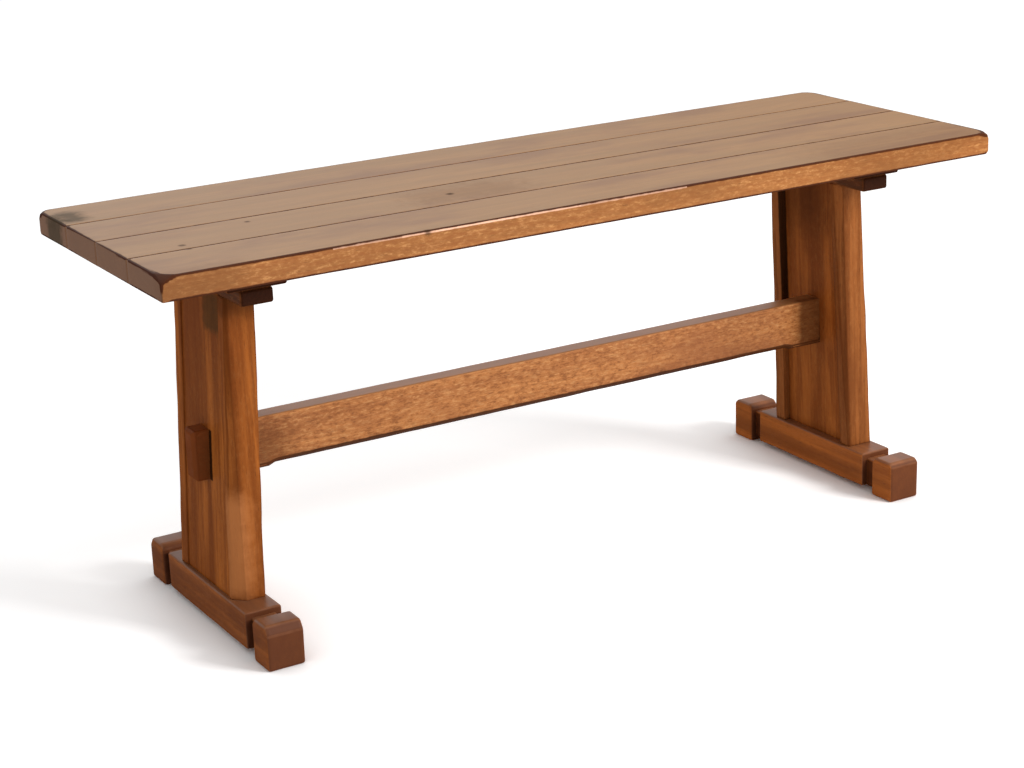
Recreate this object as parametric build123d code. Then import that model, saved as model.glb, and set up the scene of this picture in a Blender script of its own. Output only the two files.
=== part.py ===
from build123d import *
import os

# A trestle bench in oak. +X runs along the seat, +Y to its back edge and +Z up.
# The origin is on the floor under the middle of the seat. Lengths are millimetres.

# Seat: four planks side by side, joined by loose tongues
seat_height = 457.0
seat_length = 1080.0
plank_count = 4
plank_width = 89.0
plank_thickness = 27.0
plank_arris = 2.2
plank_under_arris = 1.2
seat_corner_round = 3.0
corner_clip_along_end = 20.0
corner_clip_along_side = 16.0
corner_clip_depth = 8.5
tongue_strip_thickness = 6.0
tongue_strip_width = 14.0
tongue_strip_end_gap = 32.0

# Head of each trestle: a wide batten under the planks and a narrower block under that
trestle_inset = 128.0
batten_width = 70.0
batten_length = 240.0
batten_thickness = 20.0
batten_chamfer = 4.0
head_block_end_inset = 2.0
head_block_width = 38.0
head_block_thickness = 17.5
head_block_round = 5.0

# Screws that hold the planks to the battens from below
screw_length = 36.0
screw_shank_diameter = 4.2
screw_head_diameter = 8.0
screw_head_height = 3.4
screw_row_spacing = 52.0
screw_end_distance = 16.0

# Legs: two edge posts with a recessed board between them, leaning out towards the foot
leg_lean = 16.0
post_thickness = 35.0
post_width = 18.0
post_chamfer = 2.5
left_hewn_cut_at_top = 2.0
left_hewn_cut_at_foot = 13.0
right_hewn_width_at_top = 7.0
right_hewn_depth_at_top = 13.0
right_hewn_cut_at_foot = 2.0
leg_top_width = 138.0
leg_foot_width = 152.0
board_outer_recess = 1.5
board_inner_recess = 8.0
board_tongue_thickness = 10.0
board_tongue_depth = 8.0

# Tenons that join each post to its foot below and to its head above
post_tenon_thickness = 16.0
post_tenon_width = 14.0
foot_tenon_depth = 20.0
batten_tenon_depth = 10.0

# Feet: a beam held off the floor by a block at each end, with a neck between beam and block
foot_length = 328.0
foot_block_length = 38.0
foot_block_width = 44.0
foot_block_height = 51.0
foot_block_chamfer = 3.0
foot_block_bevel_drop = 10.0
foot_block_bevel_depth = 5.0
foot_block_inner_bevel = 6.0
foot_neck_length = 18.0
foot_neck_width = 28.0
foot_neck_height = 36.0
foot_beam_width = 44.0
foot_beam_height = 42.5
foot_beam_chamfer = 2.0
foot_lift = 6.0

# Stretcher: one rail between the legs, deeper next to them, with tenons that stand proud outside
stretcher_top_height = 232.5
stretcher_depth = 57.5
stretcher_thickness = 25.0
stretcher_arris = 2.0
haunch_drop = 3.0
haunch_length = 38.0
haunch_slope = 8.0
rail_tenon_side_shoulder = 0.5
rail_tenon_top_shoulder = 1.5
rail_tenon_bottom_shoulder = 1.0
rail_tenon_projection = 17.0
rail_tenon_chamfer = 3.0

joint_clearance = 0.2
screw_clearance = 0.1
overrun = 5.0

# Heights and places that follow from the sizes above
seat_width = plank_count * plank_width
plank_underside = seat_height - plank_thickness
batten_underside = plank_underside - batten_thickness
leg_top = batten_underside - head_block_thickness
leg_bottom = foot_lift + foot_beam_height
head_x = seat_length / 2 - trestle_inset
foot_x = head_x + leg_lean
head_block_length = batten_length - 2 * head_block_end_inset
board_thickness = post_thickness - board_outer_recess - board_inner_recess
board_shift = (board_inner_recess - board_outer_recess) / 2
rail_tenon_thickness = stretcher_thickness - 2 * rail_tenon_side_shoulder
tenon_bottom = stretcher_top_height - stretcher_depth - haunch_drop + rail_tenon_bottom_shoulder
tenon_top = stretcher_top_height - rail_tenon_top_shoulder


def block(x_range, y_range, z_range):
    """A box from its limits along the three axes."""
    size = [high - low for low, high in (x_range, y_range, z_range)]
    middle = [(low + high) / 2 for low, high in (x_range, y_range, z_range)]
    return Pos(*middle) * Box(*size)


def along_y(points, y_range):
    """A prism with its outline in X and Z."""
    low, high = y_range
    outline = Plane.XZ.offset(-high) * Polygon(*points, align=None)
    return extrude(outline, amount=high - low)


def along_x(points, x_range):
    """A prism with its outline in Y and Z."""
    low, high = x_range
    outline = Plane.YZ.offset(low) * Polygon(*points, align=None)
    return extrude(outline, amount=high - low)


def leg_centre(height):
    """Where the middle of the right leg is along X at a height, as it leans out to the foot."""
    return foot_x - leg_lean * (height - leg_bottom) / (leg_top - leg_bottom)


def front_outline(thickness, shift):
    """The right leg's outline seen from the front. A shift moves it towards the bench's end."""
    half = thickness / 2
    foot_centre = leg_centre(leg_bottom) + shift
    top_centre = leg_centre(leg_top) + shift
    return [
        (foot_centre - half, leg_bottom),
        (foot_centre + half, leg_bottom),
        (top_centre + half, leg_top),
        (top_centre - half, leg_top),
    ]


def leg_piece(thickness, shift, inner_gap, outer_gap):
    """The part of the right leg between two lines that are each a gap inside its back edge."""
    side_view = [
        (leg_foot_width / 2 - inner_gap, leg_bottom),
        (leg_foot_width / 2 - outer_gap, leg_bottom),
        (leg_top_width / 2 - outer_gap, leg_top),
        (leg_top_width / 2 - inner_gap, leg_top),
    ]
    slab = along_y(front_outline(thickness, shift), (-leg_foot_width, leg_foot_width))
    return slab & along_x(side_view, (0, seat_length))


def hewn_corner(side, cut_at_foot, cut_at_top):
    """A wedge off a post's outer (1) or inner (-1) arris. A cut is its reach along X and along Y."""
    sections = []
    levels = (
        (leg_bottom, leg_foot_width, cut_at_foot),
        (leg_top, leg_top_width, cut_at_top),
    )
    for height, width, (across, along) in levels:
        x = leg_centre(height) + side * post_thickness / 2
        y = width / 2
        beyond = (x + side * across, y + along)
        corner = Polygon(beyond, (x - side * 2 * across, y + along), (x + side * across, y - 2 * along), align=None)
        sections.append(Plane.XY.offset(height) * corner)
    return loft(sections)


def post_tenon_places():
    """The middle of a post's foot tenon and head tenon, from the middle of the bench along Y."""
    return leg_foot_width / 2 - post_width / 2, leg_top_width / 2 - post_width / 2


def post_tenon(centre_x, centre_y, z_range, gap):
    """A tenon of a post, or with a gap the mortise that takes it."""
    half_x = post_tenon_thickness / 2 + gap
    half_y = post_tenon_width / 2 + gap
    return block((centre_x - half_x, centre_x + half_x), (centre_y - half_y, centre_y + half_y), z_range)


def edge_post(hewn_side=0, cut_at_foot=None, cut_at_top=None):
    """The right leg's back post. A front post is the same with one hewn arris, mirrored."""
    post = leg_piece(post_thickness, 0, post_width, 0)
    upright = [edge for edge in post.edges() if edge.length > leg_top - leg_bottom - overrun]
    outer = sorted(upright, key=lambda edge: edge.center().Y)[len(upright) // 2:]
    outer.sort(key=lambda edge: edge.center().X * hewn_side)
    post = chamfer(outer[:1] if hewn_side else outer, post_chamfer)
    if hewn_side:
        post -= hewn_corner(hewn_side, cut_at_foot, cut_at_top)
    groove_inner = post_width + overrun
    groove_outer = post_width - board_tongue_depth - joint_clearance
    groove_thickness = board_tongue_thickness + 2 * joint_clearance
    post -= leg_piece(groove_thickness, board_shift, groove_inner, groove_outer)
    foot_place, head_place = post_tenon_places()
    post += post_tenon(foot_x, foot_place, (leg_bottom - foot_tenon_depth, leg_bottom), 0)
    post += post_tenon(head_x, head_place, (leg_top, batten_underside + batten_tenon_depth), 0)
    return post


def leg_board():
    """The recessed board, tongued into both posts, with the stretcher's mortise through it."""
    past_middle = max(leg_top_width, leg_foot_width) / 2
    half = leg_piece(board_thickness, board_shift, past_middle, post_width)
    tongue_tip = post_width - board_tongue_depth
    half += leg_piece(board_tongue_thickness, board_shift, post_width + overrun, tongue_tip)
    return half + mirror(half, about=Plane.XZ) - rail_mortise()


def rail_mortise():
    half = rail_tenon_thickness / 2 + joint_clearance
    z_range = (tenon_bottom - joint_clearance, tenon_top + joint_clearance)
    return block((0, seat_length), (-half, half), z_range)


def stretcher():
    """The rail with a haunch, a shoulder and a proud tenon at each end."""
    bottom = stretcher_top_height - stretcher_depth
    to_board = board_inner_recess - post_thickness / 2
    shoulder_top = leg_centre(leg_top) + to_board
    shoulder_bottom = leg_centre(leg_bottom) + to_board
    shoulder = leg_centre(bottom) + to_board
    post_face = leg_centre(bottom) - post_thickness / 2
    haunch_end = post_face - haunch_length
    outline = [
        (0, bottom),
        (haunch_end - haunch_slope, bottom),
        (haunch_end, bottom - haunch_drop),
        (shoulder + leg_lean, bottom - haunch_drop),
        (shoulder + leg_lean, stretcher_top_height),
        (0, stretcher_top_height),
    ]
    half_thick = stretcher_thickness / 2
    rail = along_y(outline, (-half_thick, half_thick))
    top_edges = rail.edges().filter_by(Axis.X).group_by(Axis.Z)[-1]
    rail = chamfer(top_edges, stretcher_arris)
    beyond = [
        (shoulder_bottom, leg_bottom),
        (seat_length, leg_bottom),
        (seat_length, leg_top),
        (shoulder_top, leg_top),
    ]
    rail -= along_y(beyond, (-stretcher_thickness, stretcher_thickness))
    tenon_end = leg_centre((tenon_bottom + tenon_top) / 2) + post_thickness / 2 + rail_tenon_projection
    half_tenon = rail_tenon_thickness / 2
    x_range = (haunch_end, tenon_end)
    tenon = block(x_range, (-half_tenon, half_tenon), (tenon_bottom, tenon_top))
    tenon = chamfer(tenon.faces().sort_by(Axis.X)[-1].edges(), rail_tenon_chamfer)
    half_rail = rail + tenon
    return half_rail + mirror(half_rail, about=Plane.YZ)


def foot():
    """The right foot: end blocks on the floor, thin necks and the beam that takes the leg."""
    half_length = foot_length / 2
    block_inner = half_length - foot_block_length
    beam_half = block_inner - foot_neck_length
    half_beam = foot_beam_width / 2
    beam = block((-half_beam, half_beam), (-beam_half, beam_half), (foot_lift, leg_bottom))
    beam = chamfer(beam.edges(), foot_beam_chamfer)
    half_neck = foot_neck_width / 2
    neck_reach = half_length - foot_block_length / 2
    neck_heights = (foot_lift, foot_lift + foot_neck_height)
    body = beam + block((-half_neck, half_neck), (-neck_reach, neck_reach), neck_heights)
    half_block = foot_block_width / 2
    block_outline = [
        (block_inner, 0),
        (half_length, 0),
        (half_length, foot_block_height - foot_block_bevel_drop),
        (half_length - foot_block_bevel_depth, foot_block_height),
        (block_inner + foot_block_inner_bevel, foot_block_height),
        (block_inner, foot_block_height - foot_block_inner_bevel),
    ]
    end_block = along_x(block_outline, (-half_block, half_block))
    end_block = chamfer(end_block.edges(), foot_block_chamfer)
    body += end_block + mirror(end_block, about=Plane.XZ)
    body = Pos(foot_x, 0, 0) * body
    place = post_tenon_places()[0]
    floor_of_mortise = leg_bottom - foot_tenon_depth - joint_clearance
    for y in (-place, place):
        body -= post_tenon(foot_x, y, (floor_of_mortise, leg_bottom + overrun), joint_clearance)
    return body


def head_block():
    half_width, half_length = head_block_width / 2, head_block_length / 2
    piece = block((-half_width, half_width), (-half_length, half_length), (leg_top, batten_underside))
    low_ends = piece.edges().filter_by(Axis.X).group_by(Axis.Z)[0]
    piece = Pos(head_x, 0, 0) * fillet(low_ends, head_block_round)
    place = post_tenon_places()[1]
    for y in (-place, place):
        piece -= post_tenon(head_x, y, (leg_top - overrun, batten_underside + overrun), joint_clearance)
    return piece


def batten():
    half_width, half_length = batten_width / 2, batten_length / 2
    piece = block((-half_width, half_width), (-half_length, half_length), (batten_underside, plank_underside))
    piece = chamfer(piece.faces().sort_by(Axis.Z)[0].edges(), batten_chamfer)
    piece = Pos(head_x, 0, 0) * piece
    place = post_tenon_places()[1]
    top_of_mortise = batten_underside + batten_tenon_depth + joint_clearance
    for y in (-place, place):
        piece -= post_tenon(head_x, y, (batten_underside - overrun, top_of_mortise), joint_clearance)
    for x, y in screw_places():
        piece -= Pos(x, y, batten_underside) * screw(screw_clearance)
    return piece


def screw(gap):
    """A countersunk screw that points up from z = 0, or with a gap the hole for it."""
    shank = screw_shank_diameter / 2 + gap
    head = screw_head_diameter / 2 + gap
    tip = screw_length + gap
    profile = Polygon((0, 0), (head, 0), (shank, screw_head_height), (shank, tip), (0, tip), align=None)
    return revolve(Plane.XZ * profile, Axis.Z)


def screw_places():
    """Two rows of screws through each batten, one pair of screws to a plank."""
    rows = (head_x - screw_row_spacing / 2, head_x + screw_row_spacing / 2)
    outer, inner = batten_length / 2 - screw_end_distance, plank_width / 2
    return [(x, y) for x in rows for y in (-outer, -inner, inner, outer)]


def batten_screws():
    return Compound([Pos(x, y, batten_underside) * screw(0) for x, y in screw_places()])


def corner_clip(side):
    """What is rasped off the seat's right corner on the front (-1) or back (1) side."""
    start = (seat_length / 2 - corner_clip_along_side, side * seat_width / 2, seat_height)
    outwards = (1 / corner_clip_along_side, side / corner_clip_along_end, 1 / corner_clip_depth)
    size = seat_width
    beyond = Box(size, size, size, align=(Align.CENTER, Align.CENTER, Align.MIN))
    return Plane(origin=start, z_dir=outwards) * beyond


def seat_plank(number):
    """Plank 0 is the front one. The two outer planks have the seat's clipped corners."""
    front = -seat_width / 2 + number * plank_width
    back = front + plank_width
    half = seat_length / 2
    plank = block((-half, half), (front, back), (plank_underside, seat_height))
    uprights = plank.edges().filter_by(Axis.Z)
    corner_lines = [edge for edge in uprights if abs(edge.center().Y) > seat_width / 2 - overrun]
    if corner_lines:
        plank = fillet(corner_lines, seat_corner_round)
    plank = chamfer(plank.faces().sort_by(Axis.Z)[-1].edges(), plank_arris)
    plank = chamfer(plank.faces().sort_by(Axis.Z)[0].edges(), plank_under_arris)
    for side, outer_number in ((-1, 0), (1, plank_count - 1)):
        if number == outer_number:
            clip = corner_clip(side)
            plank = plank - clip - mirror(clip, about=Plane.YZ)
    for seam in (number, number + 1):
        if 0 < seam < plank_count:
            plank -= tongue_strip(seam, joint_clearance)
    for x, y in screw_places():
        if front < y < back:
            for side in (-1, 1):
                plank -= Pos(side * x, y, batten_underside) * screw(screw_clearance)
    return plank


def tongue_strip(seam, gap):
    """The loose tongue in one seam, or with a gap the grooves for it."""
    centre = -seat_width / 2 + seam * plank_width
    half_length = seat_length / 2 - tongue_strip_end_gap + gap
    half_width = tongue_strip_width / 2 + gap
    half_thick = tongue_strip_thickness / 2 + gap
    middle = plank_underside + plank_thickness / 2
    y_range = (centre - half_width, centre + half_width)
    return block((-half_length, half_length), y_range, (middle - half_thick, middle + half_thick))


def save(name, shape):
    export_step(shape, os.path.join("parts", name + ".step"))


def save_pair(name, shape):
    """Writes a piece of the right trestle and its mirror image on the left."""
    save("right_" + name, shape)
    save("left_" + name, mirror(shape, about=Plane.YZ))


def main():
    os.makedirs("parts", exist_ok=True)
    for number in range(plank_count):
        save(f"seat_plank_{number + 1}", seat_plank(number))
    for seam in range(1, plank_count):
        save(f"plank_tongue_{seam}", tongue_strip(seam, 0))
    save_pair("batten", batten())
    save_pair("batten_screws", batten_screws())
    save_pair("head_block", head_block())
    save_pair("back_post", edge_post())
    left_cuts = [(cut, cut) for cut in (left_hewn_cut_at_foot, left_hewn_cut_at_top)]
    right_foot_cut = (right_hewn_cut_at_foot, right_hewn_cut_at_foot)
    right_top_cut = (right_hewn_width_at_top, right_hewn_depth_at_top)
    left_post = edge_post(1, *left_cuts)
    right_post = edge_post(-1, right_foot_cut, right_top_cut)
    save("left_front_post", mirror(mirror(left_post, about=Plane.XZ), about=Plane.YZ))
    save("right_front_post", mirror(right_post, about=Plane.XZ))
    save_pair("leg_board", leg_board())
    save_pair("foot", foot())
    save("stretcher", stretcher())


main()
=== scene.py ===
# %% [markdown]
# This lesson dresses a rustic oak trestle bench. The frame gives every timber at its real size,
# in metres: +X along the seat, +Y to its back edge, +Z up. Each timber is then remade with the
# softened arrises and small unevenness of hand work, and finished in waxed oak.

# %% Load the frame
import math
import bmesh
import bpy
from mathutils import Matrix, Vector


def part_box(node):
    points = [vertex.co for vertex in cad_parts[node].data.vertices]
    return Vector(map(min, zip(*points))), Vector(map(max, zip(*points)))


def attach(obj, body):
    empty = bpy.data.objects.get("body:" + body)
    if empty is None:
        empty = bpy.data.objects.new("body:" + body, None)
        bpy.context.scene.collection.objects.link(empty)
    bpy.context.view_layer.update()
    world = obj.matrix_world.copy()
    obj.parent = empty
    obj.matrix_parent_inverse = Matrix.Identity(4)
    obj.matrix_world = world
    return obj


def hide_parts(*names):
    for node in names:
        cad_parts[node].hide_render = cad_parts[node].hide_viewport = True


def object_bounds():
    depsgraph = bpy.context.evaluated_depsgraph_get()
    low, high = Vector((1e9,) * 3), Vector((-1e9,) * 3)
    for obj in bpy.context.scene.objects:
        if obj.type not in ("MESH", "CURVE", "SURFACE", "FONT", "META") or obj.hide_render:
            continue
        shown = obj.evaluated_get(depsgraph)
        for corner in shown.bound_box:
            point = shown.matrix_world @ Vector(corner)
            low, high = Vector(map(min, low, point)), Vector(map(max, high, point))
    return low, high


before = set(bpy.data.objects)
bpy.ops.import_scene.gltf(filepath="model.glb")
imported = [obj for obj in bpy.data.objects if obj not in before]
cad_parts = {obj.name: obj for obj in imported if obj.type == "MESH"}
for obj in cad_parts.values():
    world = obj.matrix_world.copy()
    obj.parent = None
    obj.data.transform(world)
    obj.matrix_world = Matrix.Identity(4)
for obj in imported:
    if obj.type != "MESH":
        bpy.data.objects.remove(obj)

cad_low, cad_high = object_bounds()
print("bench box", [round(value, 3) for value in cad_high - cad_low], "nodes", len(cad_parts))

# %% [markdown]
# The camera stands to the left of the bench's front, a little above the seat, with a long lens.
# Its place and turn are written as a real place and three angles, so nothing hides in a matrix.
# The frame in the photograph is 1024 by 768 pixels, and the lens is given for a 36 mm sensor.

# %% Camera
camera_place = Vector((-1.3028, -2.1675, 1.0157))
camera_heading = math.radians(30.20)
camera_dip = math.radians(17.965)
camera_roll = math.radians(-2.10)
lens_mm = 77.84
sensor_mm = 36.0
up = Vector((0, 0, 1))

camera_data = bpy.data.cameras.new("camera")
camera_data.lens = lens_mm
camera_data.sensor_width = sensor_mm
camera = bpy.data.objects.new("camera", camera_data)
bpy.context.scene.collection.objects.link(camera)
level = math.cos(camera_dip)
heading = (math.sin(camera_heading) * level, math.cos(camera_heading) * level)
ahead = Vector((*heading, -math.sin(camera_dip)))
right = ahead.cross(up).normalized()
right = Matrix.Rotation(camera_roll, 3, -ahead) @ right
above = right.cross(ahead)
turn = Matrix((right, above, -ahead)).transposed()
camera.matrix_world = Matrix.Translation(camera_place) @ turn.to_4x4()
bpy.context.scene.camera = camera
print("camera right leans", round(math.degrees(math.asin(right.z)), 2), "degrees")

# %% [markdown]
# Light, materials and repeated shapes are all small trees of nodes, and helpers keep them short.
# One adds a node and fills its inputs, each with a plain value or with another node's output. The
# next ones add the few kinds of node that the lesson uses again and again.

# %% Helpers for nodes
def feed(tree, node, inputs):
    """Gives a node's inputs plain values, or links other nodes' outputs to them."""
    for title, value in inputs.items():
        if isinstance(value, bpy.types.NodeSocket):
            tree.links.new(value, node.inputs[title])
        else:
            node.inputs[title].default_value = value


def add_node(tree, kind, inputs=None, **settings):
    """A new node with its settings and inputs."""
    node = tree.nodes.new(kind)
    for title, value in settings.items():
        setattr(node, title, value)
    feed(tree, node, inputs or {})
    return node


def maths(tree, operation, *values, clamp=False):
    """The output of a Math node."""
    inputs = dict(enumerate(values))
    return add_node(tree, "ShaderNodeMath", inputs, operation=operation, use_clamp=clamp).outputs[0]


def vector_maths(tree, operation, *values):
    """The outputs of a Vector Math node."""
    inputs = dict(enumerate(values))
    return add_node(tree, "ShaderNodeVectorMath", inputs, operation=operation).outputs


def summed(tree, start, parts):
    """A start value plus each part times its share."""
    for value, share in parts:
        start = maths(tree, "ADD", start, maths(tree, "MULTIPLY", value, share))
    return start


def dulled(tree, wax, worn, share):
    """Wax that is thinner where it is worn."""
    kept = maths(tree, "SUBTRACT", 1.0, maths(tree, "MULTIPLY", worn, share))
    return maths(tree, "MULTIPLY", wax, kept)


def noise(tree, vector, scale, detail, roughness):
    """A noise texture's value from 0 to 1. Its scale is one number, or one for each direction."""
    if isinstance(scale, tuple):
        vector, scale = vector_maths(tree, "MULTIPLY", vector, scale)[0], 1.0
    inputs = {"Vector": vector, "Scale": scale, "Detail": detail, "Roughness": roughness}
    return add_node(tree, "ShaderNodeTexNoise", inputs).outputs["Fac"]


def ramp(tree, value, low, high, to_low=0.0, to_high=1.0):
    """A value taken from one range to another, smooth at both ends."""
    inputs = {"Value": value, "From Min": low, "From Max": high}
    inputs.update({"To Min": to_low, "To Max": to_high})
    node = add_node(tree, "ShaderNodeMapRange", inputs, interpolation_type="SMOOTHSTEP")
    return node.outputs[0]


def tinted(tree, base, tone, mask, strength=1.0):
    """base mixed towards tone where the mask is high."""
    factor = maths(tree, "MULTIPLY", mask, strength, clamp=True)
    inputs = {"Factor": factor, "A": base, "B": tone}
    return add_node(tree, "ShaderNodeMix", inputs, data_type="RGBA").outputs["Result"]


def new_material(name):
    """A material and its node tree."""
    material = bpy.data.materials.new(name)
    material.use_nodes = True
    return material, material.node_tree


def new_tree(name, family, inputs, outputs):
    """A named node tree with its input sockets and its last node.

    A socket is asked for by its kind, such as Vector, or by the number or colour it starts from.
    """
    tree = bpy.data.node_groups.new(name, f"{family}NodeTree")
    for in_out, sockets in (("INPUT", inputs), ("OUTPUT", outputs)):
        for title, start in sockets.items():
            named = isinstance(start, str)
            kind = start if named else "Color" if isinstance(start, tuple) else "Float"
            kind = f"NodeSocket{kind}"
            socket = tree.interface.new_socket(title, in_out=in_out, socket_type=kind)
            if not named:
                socket.default_value = start
    return tree, tree.nodes.new("NodeGroupInput").outputs, tree.nodes.new("NodeGroupOutput")


print("node helpers ready")

# %% [markdown]
# A product picture has a white ground, an even white surround and one lamp of medium size. The
# lamp stands to the right and in front, so the timbers' left sides fall into shade. The floor is
# lifted to white for the camera alone, which keeps the shadow and leaves the light on the oak as it
# is. The lift fades out where timber stands close by, so the feet have the dark contact shadow of
# the picture. The lamp is two in one place. Only the weaker one shows in the wax, so that its
# mirror image doesn't whiten the top when the bench is seen from behind.

# %% Light and floor
white = (1, 1, 1, 1)
floor_size = 40.0
floor_colour = (0.97, 0.97, 0.97, 1)
floor_roughness = 0.9
floor_lift = 0.30
contact_reach = 0.09
contact_dark = 0.5
sky_strength = 0.72
lamp_power = 100.0
lamp_size = 1.0
lamp_mirror_share = 0.22
lamp_place = Vector((1.75, -2.6, 1.8))
lamp_target = Vector((0, 0, 0.3))


def soft_lamp(name, power, mirrored):
    """A square area lamp that faces the bench, and shows in its wax or not."""
    data = bpy.data.lights.new(name, "AREA")
    data.energy = power
    data.size = lamp_size
    lamp = bpy.data.objects.new(name, data)
    lamp.location = lamp_place
    lamp.rotation_euler = (lamp_target - lamp_place).to_track_quat("-Z", "Y").to_euler()
    lamp.visible_glossy = mirrored
    bpy.context.scene.collection.objects.link(lamp)


def white_world():
    """An even white surround, at full white where the camera or a reflection sees it."""
    world = bpy.data.worlds.new("surround")
    bpy.context.scene.world = world
    world.use_nodes = True
    tree = world.node_tree
    path = add_node(tree, "ShaderNodeLightPath").outputs
    seen = maths(tree, "MAXIMUM", path["Is Camera Ray"], path["Is Glossy Ray"])
    levels = {"Value": seen, "To Min": sky_strength, "To Max": 1.0}
    strength = add_node(tree, "ShaderNodeMapRange", levels).outputs[0]
    feed(tree, tree.nodes["Background"], {"Color": white, "Strength": strength})


def white_floor():
    """A wide floor that takes the bench's shadow."""
    bpy.ops.mesh.primitive_plane_add(size=floor_size)
    floor = bpy.context.object
    floor.name = "floor"
    material, tree = new_material("floor_paper")
    seen = add_node(tree, "ShaderNodeLightPath").outputs["Is Camera Ray"]
    open_floor = add_node(tree, "ShaderNodeAmbientOcclusion", {"Distance": contact_reach})
    levels = {"Value": open_floor.outputs["AO"], "From Min": contact_dark, "To Max": floor_lift}
    lift = add_node(tree, "ShaderNodeMapRange", levels).outputs[0]
    look = {
        "Base Color": floor_colour,
        "Roughness": floor_roughness,
        "Specular IOR Level": 0.0,
        "Emission Color": white,
        "Emission Strength": maths(tree, "MULTIPLY", seen, lift),
    }
    feed(tree, tree.nodes["Principled BSDF"], look)
    floor.data.materials.append(material)


white_world()
white_floor()
soft_lamp("key_lamp", lamp_power * lamp_mirror_share, True)
soft_lamp("key_lamp_matte", lamp_power * (1 - lamp_mirror_share), False)
bpy.context.scene.view_settings.view_transform = "Standard"
print("lamp at", [round(value, 2) for value in lamp_place])

# %% [markdown]
# Oak shows three things at once. Growth rings run along the board as long bands, open pores lie in
# those bands as short dark dashes, and paler flecks cross them where the board was cut near the
# heart. One node group makes all three from a point in the board, with the grain along its X, and
# adds narrow streaks, a rippled figure and broad blotches. Each timber mixes its own tones.

# %% Oak grain group
grain_masks = ("Rings", "Bands", "Streaks", "Figure", "Pores", "Flecks", "Blotches", "Fibres")
# Each noise has its scale along, across and through the board, its detail and its roughness.
grain_noises = {
    "Drift": ((2.2, 9.0, 9.0), 3.0, 0.55),
    "Ripple": ((9.0, 60.0, 60.0), 2.0, 0.5),
    "Bands": ((1.6, 38.0, 38.0), 3.0, 0.55),
    "Streaks": ((4.0, 125.0, 125.0), 3.0, 0.6),
    "Figure": ((125.0, 320.0, 320.0), 4.0, 0.7),
    "Dashes": ((70.0, 1500.0, 1500.0), 2.0, 0.6),
    "Specks": ((55.0, 420.0, 170.0), 3.0, 0.65),
    "Patches": ((5.0, 22.0, 22.0), 1.0, 0.5),
    "Blotches": ((5.0, 14.0, 14.0), 4.0, 0.6),
    "Fibres": ((12.0, 650.0, 650.0), 3.0, 0.6),
}
ring_spacing = 0.006
ring_drift = 0.055
ring_ripple = 0.004


def oak_grain_group():
    """Ring, pore, fleck and blotch masks for a point in a board whose grain runs along X."""
    inputs = {"Vector": "Vector", "Ring Spacing": ring_spacing}
    outputs = dict.fromkeys(grain_masks, "Float")
    tree, source, leave = new_tree("oak_grain", "Shader", inputs, outputs)
    made = {title: noise(tree, source["Vector"], *sizes) for title, sizes in grain_noises.items()}
    parts = add_node(tree, "ShaderNodeSeparateXYZ", {0: source["Vector"]}).outputs
    squares = [maths(tree, "MULTIPLY", part, part) for part in parts[1:]]
    radius = maths(tree, "SQRT", maths(tree, "ADD", *squares))
    radius = summed(tree, radius, ((made["Drift"], ring_drift), (made["Ripple"], ring_ripple)))
    phase = maths(tree, "FRACT", maths(tree, "DIVIDE", radius, source["Ring Spacing"]))
    masks = {
        "Rings": (ramp(tree, phase, 0.0, 0.75), ramp(tree, phase, 0.8, 1.0, 1.0, 0.0)),
        "Pores": (ramp(tree, made["Dashes"], 0.56, 0.70), ramp(tree, phase, 0.1, 0.7, 1.0, 0.35)),
        "Flecks": (ramp(tree, made["Specks"], 0.52, 0.68), ramp(tree, made["Patches"], 0.35, 0.62)),
    }
    made.update({title: maths(tree, "MULTIPLY", *pair) for title, pair in masks.items()})
    feed(tree, leave, {title: made[title] for title in grain_masks})
    return tree


oak_grain = oak_grain_group()
print("oak grain group nodes", len(oak_grain.nodes))

# %% [markdown]
# Hands, cloths and knocks change a timber most along its arrises. On this bench the wax has gone
# dark there. Every timber below carries a number at each corner point, called arris, which is 1 on
# a sharp edge and falls to 0 a few millimetres away. The group breaks that band up with noise.
# It also finds end grain, where the surface looks along the grain and soaks up more stain.

# %% Arris wear group
wear_noise = (70.0, 4.0, 0.65)
wear_fade = 0.22
end_grain_range = (0.55, 0.85)


def arris_wear_group():
    """An uneven band along the arrises, and a mask for end grain."""
    inputs = {"Position": "Vector", "Grain Normal": "Vector", "Arris": 0.0, "Start": 0.3}
    inputs["Unevenness"] = 0.35
    outputs = {"Arris": "Float", "End Grain": "Float"}
    tree, source, leave = new_tree("arris_wear", "Shader", inputs, outputs)
    uneven = maths(tree, "SUBTRACT", noise(tree, source["Position"], *wear_noise), 0.5)
    band = summed(tree, source["Arris"], [(uneven, source["Unevenness"])])
    past_start = maths(tree, "SUBTRACT", band, source["Start"])
    along = add_node(tree, "ShaderNodeSeparateXYZ", {0: source["Grain Normal"]}).outputs[0]
    end_grain = ramp(tree, maths(tree, "ABSOLUTE", along), *end_grain_range)
    feed(tree, leave, {"Arris": ramp(tree, past_start, 0.0, wear_fade), "End Grain": end_grain})
    return tree


arris_wear = arris_wear_group()
print("arris wear group nodes", len(arris_wear.nodes))

# %% [markdown]
# Spills, knots, grime, painted shade in corners and recesses, painted shadows and painted
# highlights are all soft-edged places on one timber. One group finds such a place: it measures how
# far a point is outside a box and frays that edge with noise. Then it mixes the place's own tone
# into the colour that comes in, and dulls the wax there.

# %% Stain, shade and highlight patch group
patch_sizes = ("Centre", "Half Size", "Softness", "Fraying", "Strength", "Tone")
plain_oak = (0.3, 0.1, 0.03, 1)
plain_stain = (0.1, 0.05, 0.02, 1)
patch_dulling = 0.7
fray_noise = (95.0, 4.0, 0.6)


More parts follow.
